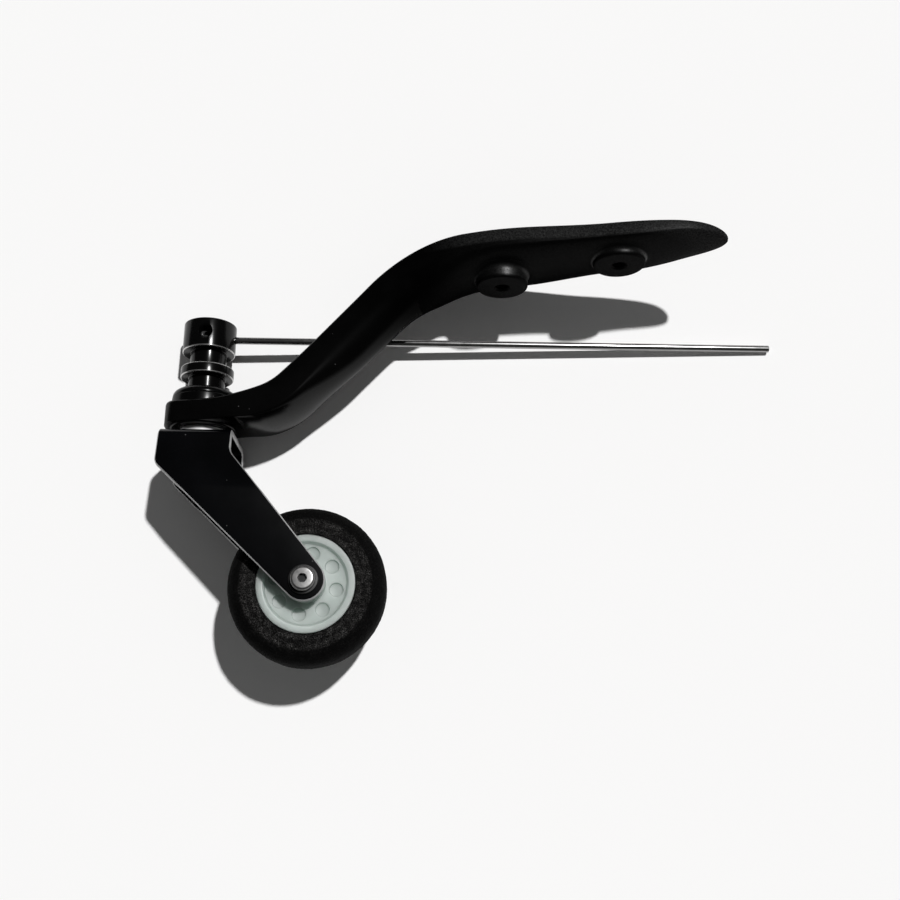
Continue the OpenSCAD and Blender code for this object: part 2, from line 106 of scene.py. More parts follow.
def newPiece(name, points, faces, finishes=None):  # doubles joined, normals outward
    mesh = bpy.data.meshes.new(name)
    mesh.from_pydata(points, [], faces)
    if finishes is not None:
        mesh.polygons.foreach_set("material_index", finishes)
    work = bmesh.new()
    work.from_mesh(mesh)
    bmesh.ops.remove_doubles(work, verts=work.verts, dist=weld)  # closes seams and poles
    bmesh.ops.recalc_face_normals(work, faces=work.faces)
    work.to_mesh(mesh)
    work.free()
    return added(name, mesh)


def surface(name, grid, wrapRows=False, wrapCols=True, ends=False, finishes=None):  # rows x cols x 3
    rows, cols = grid.shape[:2]
    faces = gridFaces(rows, cols, wrapRows, wrapCols).tolist()
    if ends:
        faces += [list(range(cols)), list(range((rows - 1) * cols, rows * cols))]
    return newPiece(name, grid.reshape(-1, 3), faces, finishes)


def softCorners(outline, radii, steps=5):  # each corner becomes an arc that touches both of its sides
    p = np.array(outline, float)
    r = np.maximum(radii, 1e-4)  # a sharp corner is a tiny arc
    u, v = unit(np.roll(p, 1, 0) - p), unit(np.roll(p, -1, 0) - p)
    half = np.arccos(np.clip((u * v).sum(1), -1, 1)) / 2
    centre = p + unit(u + v) * (r / np.sin(half))[:, None]
    first = p + u * (r / np.tan(half))[:, None] - centre
    last = p + v * (r / np.tan(half))[:, None] - centre
    start = np.arctan2(first[:, 1], first[:, 0])
    sweep = (np.arctan2(last[:, 1], last[:, 0]) - start + math.pi) % turn - math.pi
    angle = start[:, None] + sweep[:, None] * np.linspace(0, 1, steps)
    arcs = centre[:, None] + r[:, None, None] * np.stack([np.cos(angle), np.sin(angle)], -1)
    return arcs.reshape(-1, 2)


def softOutline(corners, steps=5):  # corners given as (radius, height, rounding)
    p = np.array(corners, float)
    return softCorners(p[:, :2], p[:, 2], steps)


def turned(name, outline, origin, axes, steps=160):  # (r cos a, r sin a, h) for an outline of (r, h)
    r, h = np.asarray(outline, float).T
    return surface(name, placed(swept(r, circle(steps), h), origin, axes), wrapRows=True)


def prism(name, flats, low, high, origin, axes, sides=6):  # straight bar with flat sides
    a = np.arange(sides) * turn / sides
    r = flats / 2 / math.cos(math.pi / sides)
    grid = np.stack([swept(r, a, h) for h in (low, high)])
    return surface(name, placed(grid, origin, axes), ends=True)


def rod(name, r, low, high, origin, axes):  # round bar from one height to another
    return turned(name, [(0, low), (r, low), (r, high), (0, high)], origin, axes, steps=96)


def settle(piece):  # the modifiers' result becomes the mesh
    graph = bpy.context.evaluated_depsgraph_get()
    done = bpy.data.meshes.new_from_object(piece.evaluated_get(graph))
    old = piece.data
    piece.modifiers.clear()
    piece.data = done
    bpy.data.meshes.remove(old)
    done.name = piece.name


def carve(piece, tool, operation="DIFFERENCE"):  # cuts or joins, and uses the tool up
    step = piece.modifiers.new("carve", "BOOLEAN")
    step.operation = operation
    step.solver = "MANIFOLD"
    step.object = tool
    if piece.data.materials:  # the cut takes the piece's first finish
        tool.data.materials.append(piece.data.materials[0])
    settle(piece)
    bpy.data.objects.remove(tool)


def dress(piece, body, finish, slot, *nodes, crease=32):  # smooth, painted, riding on its body
    piece.data.shade_smooth()
    piece.data.set_sharp_from_angle(angle=math.radians(crease))
    if finish:  # the fork has its two finishes already
        piece.data.materials.clear()
        for each in finish if isinstance(finish, list) else [finish]:
            piece.data.materials.append(each)
    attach(piece, body)
    if nodes:
        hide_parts(*nodes)
    print("made", piece.name, len(piece.data.polygons), "faces")


# shader making

class Sock:  # one node output, with what can be made from it
    def __init__(self, tree, socket):
        self.tree = tree
        self.socket = socket

    def node(self, kind, settings=None, inputs=None, output=0):  # settings first, then values or links
        made = self.tree.nodes.new("ShaderNode" + kind)
        for key, value in (settings or {}).items():
            setattr(made, key, value)
        for key, value in (inputs or {}).items():
            if isinstance(value, Sock):
                self.tree.links.new(value.socket, made.inputs[key])
            else:
                made.inputs[key].default_value = value
        return Sock(self.tree, made.outputs[output])

    def maths(self, operation, first, second=0.0):
        return self.node("Math", {"operation": operation}, {0: first, 1: second})

    def larger(self, other):
        return self.maths("MAXIMUM", self, other)

    def size(self):
        return self.maths("ABSOLUTE", self)

    def part(self, axis):  # one coordinate of a vector
        return self.node("SeparateXYZ", None, {0: self}, axis)

    def step(self, low, high):  # eases from 0 at low to 1 at high
        settings = {"interpolation_type": "SMOOTHSTEP"}
        return self.node("MapRange", settings, {0: self, 1: low, 2: high})

    def colours(self, low, high):  # from one colour at 0 to another at 1
        return self.node("Mix", {"data_type": "RGBA"}, {0: self, 6: low, 7: high}, 2)

    def noise(self, scale, detail=2.0, roughness=0.5):
        inputs = {"Vector": self, "Scale": scale, "Detail": detail, "Roughness": roughness}
        return self.node("TexNoise", None, inputs)

    def cells(self, scale):  # distance from the middle of the nearest cell
        return self.node("TexVoronoi", None, {"Vector": self, "Scale": scale})

    def stretched(self, factors):  # the same coordinates, scaled along each axis
        return self.node("Mapping", None, {"Vector": self, "Scale": factors})

    def framed(self, origin, axes):  # coordinates seen from a local frame
        turning = Matrix(np.asarray(axes).tolist())
        moved = turning @ Vector(-np.asarray(origin, float))
        return self.node("Mapping", None, {"Vector": self, "Location": moved, "Rotation": turning.to_euler()})

    def bump(self, height, strength):  # height in metres
        return self.node("Bump", None, {"Height": self, "Distance": height, "Strength": strength})


signs = {"add": "ADD", "sub": "SUBTRACT", "mul": "MULTIPLY", "pow": "POWER"}
for sign, operation in signs.items():  # + - * ** add Math nodes, with the Sock on either side
    setattr(Sock, f"__{sign}__", lambda sock, other, does=operation: sock.maths(does, sock, other))
    setattr(Sock, f"__r{sign}__", lambda sock, other, does=operation: sock.maths(does, other, sock))


def grey(value, warmth=0.0):  # warmth moves it from blue towards red
    return (value * (1 + warmth), value, value * (1 - warmth), 1)


def startFinish(name):  # a bare shader, and the place on the piece that feeds it
    material = bpy.data.materials.new(name)
    material.use_nodes = True
    tree = material.node_tree
    tree.nodes.clear()
    shader = tree.nodes.new("ShaderNodeBsdfPrincipled")
    end = tree.nodes.new("ShaderNodeOutputMaterial")
    shader.name, end.name = "skin", "end"
    tree.links.new(shader.outputs[0], end.inputs[0])
    return material, Sock(tree, tree.nodes.new("ShaderNodeTexCoord").outputs["Object"])


def setFinish(material, **values):  # socket names written in camelCase
    inputs = material.node_tree.nodes["skin"].inputs
    names = {s.name.replace(" ", "").lower(): s for s in reversed(inputs)}
    for key, value in values.items():
        socket = names[key.lower()]
        if isinstance(value, Sock):
            material.node_tree.links.new(value.socket, socket)
        else:
            socket.default_value = value
    return material


def radiusAbout(local):  # distance from the local third axis
    x, y = local.part(0), local.part(1)
    return (x * x + y * y) ** 0.5


armLook = dict(
    dark=0.0006, light=0.0014, dust=0.12,  # tones
    gloss=0.21, polish=0.40, satin=0.42, sheen=0.11, grain=0.03,  # the two skins, and their grain in mm
    seam=-46, polishFade=26, grainFade=24,  # mm along the arm, where one skin meets the other
    wallGrain=0.032, underGrain=0.003, wallLow=-5.2, wallHigh=-4.0,  # grain painted lighter on the walls, where light falls, and darker below them as painted shade; heights in mm
)
# the walls of the bosses: strength of their sheen, then radii and heights in mm
bossLook = dict(sheen=0.75, outside=9.3, inside=8.6, low=0.7, high=1.6, padTop=-4.2, padLow=-5.4)


def mouldingTone(spot):  # drifts slowly between two blacks
    flow = spot.noise(70, 4, 0.6)
    return flow.step(0.35, 0.7).colours(grey(armLook["dark"]), grey(armLook["light"]))


def polishedFinish():  # fibre-filled nylon from the polished part of the mould
    material, spot = startFinish("polishedBlackMoulding")
    grain = spot.noise(2400, 3, 0.6)
    dust = spot.cells(240).step(0.05, 0.03)
    seam = armLook["seam"] * mm
    near = spot.part(0).step(seam - armLook["polishFade"] * mm, seam)  # fades into the grained part
    return setFinish(
        material,
        baseColor=(dust * 0.5).colours(mouldingTone(spot), grey(armLook["dust"])),
        roughness=0.5,
        specularIorLevel=0.0,
        coatWeight=armLook["polish"] * (1 - 0.9 * near) * (0.75 + 0.5 * grain),
        coatRoughness=armLook["gloss"],
        normal=grain.bump(armLook["grain"] * mm, 0.3),
    )


def bossFlanks(spot, bosses):  # 1 on the round walls of the bosses, given as (x, seat) in mm
    mask = 0.0
    for x, seat in bosses:
        local = spot.framed((x * mm, 0, -seat * mm), armAxes)
        around = radiusAbout(local).step(bossLook["outside"] * mm, bossLook["inside"] * mm)
        mask = mask + around * local.part(2).step(bossLook["low"] * mm, bossLook["high"] * mm)
    return mask * spot.part(2).step(bossLook["padTop"] * mm, bossLook["padLow"] * mm)


def grainedFinish(bosses):  # the same nylon where the mould is grained; the bosses' flanks glint most
    material, spot = startFinish("grainedBlackMoulding")
    grain = spot.noise(2600, 3, 0.65)
    fleck = spot.cells(1800).step(0.32, 0.05)
    seam = armLook["seam"] * mm
    begin = spot.part(0).step(seam, seam + armLook["grainFade"] * mm)
    # painted light and shade: the grain is lighter on the walls and top, which the lamp lights, and darker
    # underneath, in shade
    wall = spot.part(2).step(armLook["wallLow"] * mm, armLook["wallHigh"] * mm)
    glint = (grain.step(0.30, 0.78) * 0.85 + fleck * 0.15) * begin
    paintedLightAndShade = wall.colours(grey(armLook["underGrain"]), grey(armLook["wallGrain"]))
    sheen = armLook["sheen"] * (0.2 + 0.8 * begin) + bossLook["sheen"] * bossFlanks(spot, bosses)
    return setFinish(
        material,
        baseColor=glint.colours(mouldingTone(spot), paintedLightAndShade),
        roughness=0.6,
        specularIorLevel=0.0,
        coatWeight=sheen * grain.step(0.1, 0.7),
        coatRoughness=armLook["satin"],
        normal=(grain + fleck * 0.3).bump(armLook["grain"] * mm, 0.6),
    )


turnedLook = dict(black=0.0016, bare=0.60, gloss=0.13, shine=0.19, wearEnd=0.40, wearFull=0.26, relief=0.008)


def anodisedFinish(name, edges):  # black turning, bright at worn edges (radius, height)
    material, spot = startFinish(name)
    local = spot.framed(*onArm)
    radius, height = radiusAbout(local), local.part(2)
    lathe = local.stretched((60, 60, 9000)).noise(1, 2)
    chatter = local.noise(900, 3)
    bright = None
    for edgeRadius, edgeHeight in edges:
        off = (radius - edgeRadius * mm).size().larger((height - edgeHeight * mm).size())
        near = off.step(turnedLook["wearEnd"] * mm, turnedLook["wearFull"] * mm)
        bright = near if bright is None else bright.larger(near)
    bright = bright * (0.75 + 0.35 * chatter)
    return setFinish(
        material,
        baseColor=bright.colours(grey(turnedLook["black"]), grey(turnedLook["bare"], 0.01)),
        metallic=bright,
        roughness=turnedLook["gloss"] + 0.09 * lathe + 0.10 * bright,
        specularIorLevel=turnedLook["shine"],
        normal=(lathe * 0.7 + chatter * 0.3).bump(turnedLook["relief"] * mm, 0.5),
    )


coatLook = dict(dark=(0.0004, 0.0005, 0.0007, 1), light=(0.0009, 0.0010, 0.0014, 1), speck=0.10,
                gloss=0.13, shine=0.34, peel=0.012)


def coatedFinish():  # gloss coat on sheet, with faint orange peel and handling marks
    material, spot = startFinish("glossBlackCoat")
    peel = spot.noise(520, 2)
    cloud = spot.noise(60, 3)
    speck = spot.cells(230).step(0.055, 0.03)
    tone = cloud.step(0.3, 0.75).colours(coatLook["dark"], coatLook["light"])
    return setFinish(
        material,
        baseColor=(speck * 0.5).colours(tone, grey(coatLook["speck"])),
        roughness=coatLook["gloss"] + 0.08 * cloud + 0.3 * speck,
        specularIorLevel=coatLook["shine"],
        normal=peel.bump(coatLook["peel"] * mm, 0.6),
    )


metalLook = dict(soil=0.03, pitSide=0.1, pitFloor=0.25)  # tone of the painted shade in a pit, and mm over which it starts


def metalFinish(name, colour, gloss, streak=(1, 1, 1), origin=swivelPoint, axes=armAxes,
                dirt=0.25, relief=0.01, pit=None, metal=1.0):  # streaks and dull patches, and painted shade in a pit; relief in mm
    material, spot = startFinish(name)
    local = spot.framed(origin, axes)
    lines = local.stretched(streak).noise(1400, 3)
    patch = local.noise(260, 4, 0.6)
    dull = tuple(c * (1 - dirt) for c in colour[:3]) + (1,)
    tone = patch.step(0.3, 0.72).colours(dull, colour)
    if pit:  # painted shade within a radius and below a height
        radius, height = pit
        within = radiusAbout(local).step(radius * mm, (radius - metalLook["pitSide"]) * mm)
        below = local.part(2).step(height * mm, (height - metalLook["pitFloor"]) * mm)
        tone = (within * below).colours(tone, grey(metalLook["soil"]))
    return setFinish(
        material,
        baseColor=tone,
        metallic=metal,
        roughness=gloss + 0.14 * lines + 0.10 * patch,
        normal=lines.bump(relief * mm, 0.5),
    )


nylonLook = dict(gloss=0.30, depth=9, spread=(0.9, 1.0, 0.95), pore=0.02)  # depth and pore in mm


def nylonFinish(name, colour, shade):  # milky nylon with a faint flow pattern
    material, spot = startFinish(name)
    flow = spot.noise(130, 3, 0.55)
    pore = spot.noise(2600, 2)
    return setFinish(
        material,
        baseColor=flow.step(0.3, 0.7).colours(shade, colour),
        roughness=nylonLook["gloss"] + 0.18 * flow,
        subsurfaceWeight=1.0,
        subsurfaceRadius=nylonLook["spread"],
        subsurfaceScale=nylonLook["depth"] * mm,
        normal=pore.bump(nylonLook["pore"] * mm, 0.4),
    )


foamLook = dict(cell=2100, rings=800, sidewall=20.6, dark=0.0007, light=0.085, relief=0.16)


def foamFinish():  # closed-cell foam: cut cells glint on the sidewalls, the shoulders are ground smooth
    material, spot = startFinish("blackFoamRubber")
    local = spot.framed(*onAxle)
    radius = radiusAbout(local)
    side = radius.step((foamLook["sidewall"] + 0.5) * mm, (foamLook["sidewall"] - 0.4) * mm)
    cell = spot.cells(foamLook["cell"])
    fine = spot.noise(3600, 3, 0.7)
    patch = spot.noise(420, 2).step(0.30, 0.66)
    rings = spot.node("TexNoise", {"noise_dimensions": "1D"}, {"W": radius, "Scale": foamLook["rings"]})
    grooves = 0.6 + 0.4 * rings.step(0.3, 0.6)
    glint = fine.step(0.46, 0.70) * (0.35 + 0.65 * patch) * grooves * (side * 0.88 + 0.12)
    return setFinish(
        material,
        baseColor=glint.colours(grey(foamLook["dark"]), grey(foamLook["light"], 0.03)),
        roughness=0.85 - 0.2 * glint,
        specularIorLevel=0.05,
        normal=(cell + fine * 0.5 + rings * 0.3).bump(foamLook["relief"] * mm, 0.7),
    )


polishedBlack = polishedFinish()
coatBlack = coatedFinish()
bareEdge = metalFinish("bareCutEdge", grey(0.50), 0.30, (1, 1, 6), metal=0.6)
brightSteel = metalFinish("turnedSteel", grey(0.66), 0.5, (0.2, 0.2, 5), metal=0.75)
wireSteel = metalFinish("drawnWire", grey(0.36, 0.01), 0.11, (0.02, 3, 3), *onFork,
                        dirt=0.15, relief=0.002)
boltFace = span("axle_bolt", axlePoint, -acrossWay)[1]
socketShade = (1.5, boltFace - 0.3)  # radius and height of the painted shade in the socket
boltSteel = metalFinish("boltSteel", grey(0.30, 0.012), 0.22, origin=axlePoint, axes=axleAxes, pit=socketShade)
blackSteel = metalFinish("blackenedSteel", grey(0.035), 0.34)
bronze = metalFinish("sinteredBronze", (0.55, 0.36, 0.17, 1), 0.4)
whiteNylon = nylonFinish("milkyNylon", (0.42, 0.475, 0.445, 1), (0.37, 0.42, 0.395, 1))
ringNylon = nylonFinish("lockingRingNylon", (0.16, 0.22, 0.50, 1), (0.12, 0.17, 0.42, 1))
foamBlack = foamFinish()
print("finishes ready")


# arm: a section with a flat top, rounded edges, straight walls and an elliptical belly, carried along an S

arm = dict(
    pivotWidth=22, pivotEnd=12, endRound=7.5, endPower=2.6, sideRun=13,
    housingLow=2.5, housingHigh=13.2, collarRadius=10.8, collarHeight=2.7, collarFoot=0.15, collarSoft=0.5,
    toeBend=57, toeTurn=20, lowBend=18, highBend=47, lowRun=10.3, highRun=29.4, footRun=8,
    throatWidth=17.4, throatLead=6, throatTail=8, shoulderWidth=29.6, shoulderPast=3, padWidth=25,
    tipLength=34.5, leafBefore=2.5, leafPower=2.3, droopLength=16, droop=1.4, edgeRound=1.2, noseRound=9,
    depths=(11.3, 14.8, 15.2, 9.4, 7.2, 3.8),  # at the low bend, throat, high bend, shoulder, pad and tip
    bellies=(0.05, 0.18, 0.6, 0.46, 0.4, 0.34, 0.36),  # rounded share of the depth, at the foot and there
    bossRadius=8.35, bossRim=0.8, bossFlare=2.6, rearSeat=13.9, frontSeat=9.4, holeMouth=0.55, boreRadius=5,
    lastTurn=89.2, noseClose=0.95, leastWidth=0.15, leastBelly=0.3, edgeShare=0.45, bossSink=0.05,
)
armSteps = dict(end=50, body=240, edge=7, belly=49, top=12)  # points along the arm and round its section
rearX, frontX = reach - holePitch / 2, reach + holePitch / 2
tipX = frontX + arm["tipLength"]
footHeight = arm["housingHigh"] - arm["collarHeight"]
endX = arm["endRound"] - arm["pivotEnd"]
lowX = arm["pivotWidth"] / 2 + arm["lowRun"]
highX = rearX - arm["highRun"]
armSlope = math.atan((mountHeight - footHeight) / (highX - lowX))
toeTurn = math.radians(arm["toeTurn"])
toeRise = arm["toeBend"] * (1 - math.cos(toeTurn))
lowRise = arm["lowBend"] * (math.cos(toeTurn) - math.cos(armSlope))
slopeX = lowX + (toeRise + lowRise) / math.tan(armSlope)
bendX = slopeX - arm["lowBend"] * (math.sin(armSlope) - math.sin(toeTurn))
toeX = bendX - arm["toeBend"] * math.sin(toeTurn)
highTangent = arm["highBend"] * math.tan(armSlope / 2)
throatX = (lowX + highX) / 2
shoulderX, leafX = rearX + arm["shoulderPast"], frontX - arm["leafBefore"]
droopX = tipX - arm["droopLength"]
armStations = [arm["footRun"], lowX, throatX, highX, shoulderX, frontX, tipX]


def ease(x, stations):  # smooth steps from station to station
    at, value = np.array(stations, float).T
    i = np.clip(np.searchsorted(at, x, side="right") - 1, 0, len(at) - 2)
    u = np.clip((x - at[i]) / (at[i + 1] - at[i]), 0, 1)
    return value[i] + (value[i + 1] - value[i]) * (3 - 2 * u) * u * u


def armTop(x):  # height and slope of the top: level, two-part bend, straight, bend, level, drooping tip
    highStart = highX - highTangent * math.cos(armSlope)
    stretch = np.searchsorted([toeX, bendX, slopeX, highStart, highX + highTangent, droopX], x)
    toe = np.arcsin(np.clip((x - toeX) / arm["toeBend"], 0, math.sin(toeTurn)))
    low = np.arcsin(np.clip((x - bendX) / arm["lowBend"] + math.sin(toeTurn), 0, math.sin(armSlope)))
    high = np.arcsin(np.clip((highX + highTangent - x) / arm["highBend"], 0, math.sin(armSlope)))
    past = np.clip(x - droopX, 0, None) / arm["droopLength"]
    level = 0 * x
    angle = np.choose(stretch, [level, toe, low, level + armSlope, high, level,
                                -np.arctan(2 * arm["droop"] * past / arm["droopLength"])])
    height = np.choose(stretch, [
        level + footHeight,
        footHeight + arm["toeBend"] * (1 - np.cos(toe)),
        footHeight + toeRise + arm["lowBend"] * (math.cos(toeTurn) - np.cos(low)),
        footHeight + (x - lowX) * math.tan(armSlope),
        mountHeight - arm["highBend"] * (1 - np.cos(high)),
        level + mountHeight,
        mountHeight - arm["droop"] * past ** 2,
    ])
    return height, angle


def armHalfWidth(x):  # eased stations, rounded off at the blunt pivot end and the leaf-shaped tip
    end = np.clip((endX - x) / arm["endRound"], 0, 1)
    leaf = np.clip((x - leafX) / (tipX - leafX), 0, 1)
    throat = arm["throatWidth"] / 2
    stations = [(arm["sideRun"], arm["pivotWidth"] / 2), (throatX - arm["throatLead"], throat),
                (throatX + arm["throatTail"], throat), (shoulderX, arm["shoulderWidth"] / 2),
                (leafX, arm["padWidth"] / 2)]
    return np.sqrt((1 - end ** arm["endPower"]) * (1 - leaf ** arm["leafPower"])) * ease(x, stations)


def armDepth(x):  # eased from station to station
    footDepth = footHeight - arm["housingLow"] - arm["collarFoot"]
    return ease(x, list(zip(armStations, (footDepth, *arm["depths"]))))


def armBelly(x):  # the part of the depth that is rounded
    return armDepth(x) * ease(x, list(zip(armStations, arm["bellies"])))


def bellyDepth(x, y):  # how far the underside lies below the mounting face, on the flat stretch
    across = np.clip(y / np.maximum(armHalfWidth(x), arm["leastBelly"]), -1, 1)
    return armDepth(x) - armBelly(x) * (1 - np.sqrt(1 - across ** 2))


def makeArm():  # a section (across, down) at each x, hung square to the slope of the top
    quarterTurn = np.sin(np.radians(np.linspace(0, arm["lastTurn"], armSteps["end"])[1:]))
    bluntEnd = endX - arm["endRound"] * quarterTurn[::-1]
    body = np.linspace(endX, leafX, armSteps["body"])
    leaf = leafX + (tipX - leafX) * quarterTurn
    x = np.concatenate([bluntEnd, body, leaf])[:, None]
    nose = np.clip((x - tipX) / arm["noseRound"] + 1, 0, 1)
    slim = np.sqrt(1 - arm["noseClose"] * nose ** 2)  # the tip closes to a round nose
    width = np.maximum(armHalfWidth(x), arm["leastWidth"])
    depth, belly = armDepth(x) * slim, armBelly(x) * slim
    edge = np.minimum(arm["edgeRound"], arm["edgeShare"] * np.minimum(width, depth - belly))
    quarter = np.radians(np.linspace(90, 0, armSteps["edge"]))[None, :]
    half = np.radians(np.linspace(180, 0, armSteps["belly"]))[None, :]
    nearY, nearD = -(width - edge + edge * np.cos(quarter)), edge - edge * np.sin(quarter)
    bellyY, bellyD = width * np.cos(half), depth - belly + belly * np.sin(half)
    top = np.linspace(1, -1, armSteps["top"])[None, 1:-1] * (width - edge)
    across = np.concatenate([nearY, bellyY, -nearY[:, ::-1], top], 1)
    down = np.concatenate([nearD, bellyD, nearD[:, ::-1], 0 * top], 1)
    height, angle = armTop(x)
    height = height - armDepth(x) * (1 - slim) / 2
    grid = np.stack([x + down * np.sin(angle), across, height - down * np.cos(angle)], -1)
    piece = surface("arm_moulding", placed(grid, *onArm), ends=True)
    carve(piece, makeCollar(), "UNION")
    bosses = ((rearX, arm["rearSeat"]), (frontX, arm["frontSeat"]))
    for bossX, seat in bosses:
        carve(piece, makeBoss(bossX, seat), "UNION")
    for bossX, seat in bosses:
        carve(piece, makeHole(bossX, seat))
    carve(piece, rod("bore", arm["boreRadius"], 0, 20, *onArm))  # both ends stand clear of the collar
    return piece


def makeHole(bossX, seat):  # straight hole that opens in a cone at the boss; runs 1 mm past at both ends
    r, mouth = holeRadius, arm["holeMouth"]
    outline = [(0, 1), (r, 1), (r, mouth - seat), (r + mouth + 1, -seat - 1), (0, -seat - 1)]
    return turned("hole", outline, placed([bossX, 0, mountHeight], *onArm), armAxes, steps=64)


def makeCollar():  # holds the bushes and stands out from the arm's end above and below
    r, low, high, soft = arm["collarRadius"], arm["housingLow"], arm["housingHigh"], arm["collarSoft"]
    outline = [(0, low), (r, low), (r, high), (0, high)]
    return turned("collar", softCorners(outline, [0, soft, soft, 0], 9), *onArm, steps=192)


def makeBoss(bossX, seat):  # round seat and flank, then a fillet that ends on the belly all round
    r, rim, flare, sink = arm["bossRadius"], arm["bossRim"], arm["bossFlare"], arm["bossSink"]
    a = circle(192)
    bend = np.radians(np.linspace(0, 90, 7))[None, :]
    u = np.linspace(0, 1, 13)[None, :]

    def below(radius):
        return bellyDepth(bossX + radius * np.cos(a), radius * np.sin(a))

    root, foot = below(r), below(r + flare) - sink
    flank = np.minimum(root + flare, seat - rim - sink)
    filletR = r + flare * u ** 2
    filletD = flank * (1 - u) ** 2 + 2 * u * (1 - u) * root + u ** 2 * foot
    rimR, rimD = r - rim + rim * np.sin(bend), seat - rim + rim * np.cos(bend)
    radius = np.concatenate([0 * a, rimR + 0 * a, filletR + 0 * a, r - 1 + 0 * a, 0 * a], 1)
    down = np.concatenate([seat + 0 * a, rimD + 0 * a, filletD, foot - 2, 0 * a + 2], 1)  # ends in the arm
    grid = np.stack([bossX + radius * np.cos(a), radius * np.sin(a), mountHeight - down], -1)
    return surface("boss", placed(grid, *onArm), wrapRows=True, wrapCols=False)


grainedBlack = grainedFinish([(-holePitch / 2, arm["rearSeat"]), (holePitch / 2, arm["frontSeat"])])
armPiece = makeArm()
dress(armPiece, "arm_body", [polishedBlack, grainedBlack], "arm_moulding", "arm", crease=38)
for face in armPiece.data.polygons:
    face.material_index = int(face.center.x > armLook["seam"] * mm)


# fork: a flat blank with soft edges, folded along its length

fork = dict(width=23.5, topSpan=24.4, span=32, sheet=2, crease=20.5, lead=12.2, back=8, endRadius=6.5,
            bendRadius=3, creaseRadius=9, leadRadius=4, backRadius=5, bevel=0.42, bevelDepth=0.6,
            bevelSoft=0.35, edgeSoft=0.1, face=3, pivotHole=3.024, axleHole=2, legTop=3, bridgeIn=4)
forkSteps = dict(bend=25, corner=15, tip=40, leg=40, slant=60, bridge=17, bevel=6)  # points on each stretch
trail, axleHeight = (axlePoint - swivelPoint) @ alongWay / mm, (axlePoint - swivelPoint)[2] / mm
endHeight = axleHeight - fork["endRadius"]


def touchPoint(outside, centre, r, side):  # where a line from outside touches a circle
    away = np.subtract(outside, centre)
    angle = math.atan2(away[1], away[0]) + side * math.acos(r / math.hypot(*away))
    return np.add(centre, [r * math.cos(angle), r * math.sin(angle)])


def forkEdges(z):  # leading and trailing edge of the leg at each height
    half, centre, r = fork["width"] / 2, (trail, axleHeight), fork["endRadius"]
    lead, back = (-half, -fork["lead"]), (half, -fork["back"])
    low, high = touchPoint(lead, centre, r, 1), touchPoint(back, centre, r, -1)
    n = forkSteps["corner"]
    above = 50  # mm, anywhere over the fork's top
    leading = softCorners([(-half, above), lead, low], [0, fork["leadRadius"], 0], n)[n:2 * n]
    trailing = softCorners([(half, above), back, high], [0, fork["backRadius"], 0], n)[n:2 * n]
    chord = np.sqrt(np.maximum(r * r - (z - axleHeight) ** 2, 0))
    pathLow = np.vstack([[(-half, 1)], leading, [low]])[::-1]
    pathHigh = np.vstack([[(half, 1)], trailing, [high]])[::-1]
    left = np.where(z > low[1], np.interp(z, pathLow[:, 1], pathLow[:, 0]), trail - chord)
    right = np.where(z > high[1], np.interp(z, pathHigh[:, 1], pathHigh[:, 0]), trail + chord)
    return left, right


